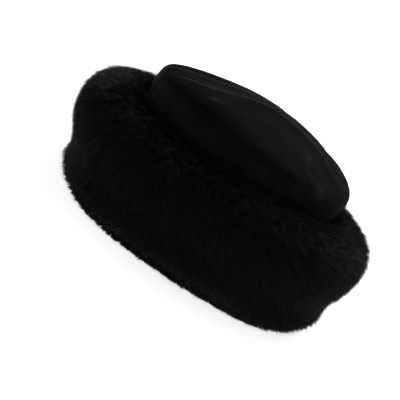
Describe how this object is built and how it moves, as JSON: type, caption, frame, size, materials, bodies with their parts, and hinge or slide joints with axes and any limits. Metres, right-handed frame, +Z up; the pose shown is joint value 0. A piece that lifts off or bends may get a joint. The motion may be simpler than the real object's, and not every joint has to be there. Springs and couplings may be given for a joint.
{
  "type": "fur hat",
  "caption": "Round winter hat with a deep, thick fur band all round and a soft, shallow-domed cloth crown, sewn from two panels and a strip between them, that puffs out over it.",
  "frame": {"origin": "middle of the footprint, on the surface that the hem rests on", "axes": "+Z up through the crown, the hat's front faces -Y, +X to the right in a front view"},
  "size_m": [0.2702, 0.2938, 0.1365],
  "materials": {
    "fur": "dense short black pile, matt with a soft gloss on the tips",
    "velvet": "black velvet with a soft sheen"
  },
  "bodies": {
    "root": {"fur_band": "fur", "crown_front_panel": "velvet", "crown_strip": "velvet", "crown_back_panel": "velvet"}
  },
  "joints": []
}
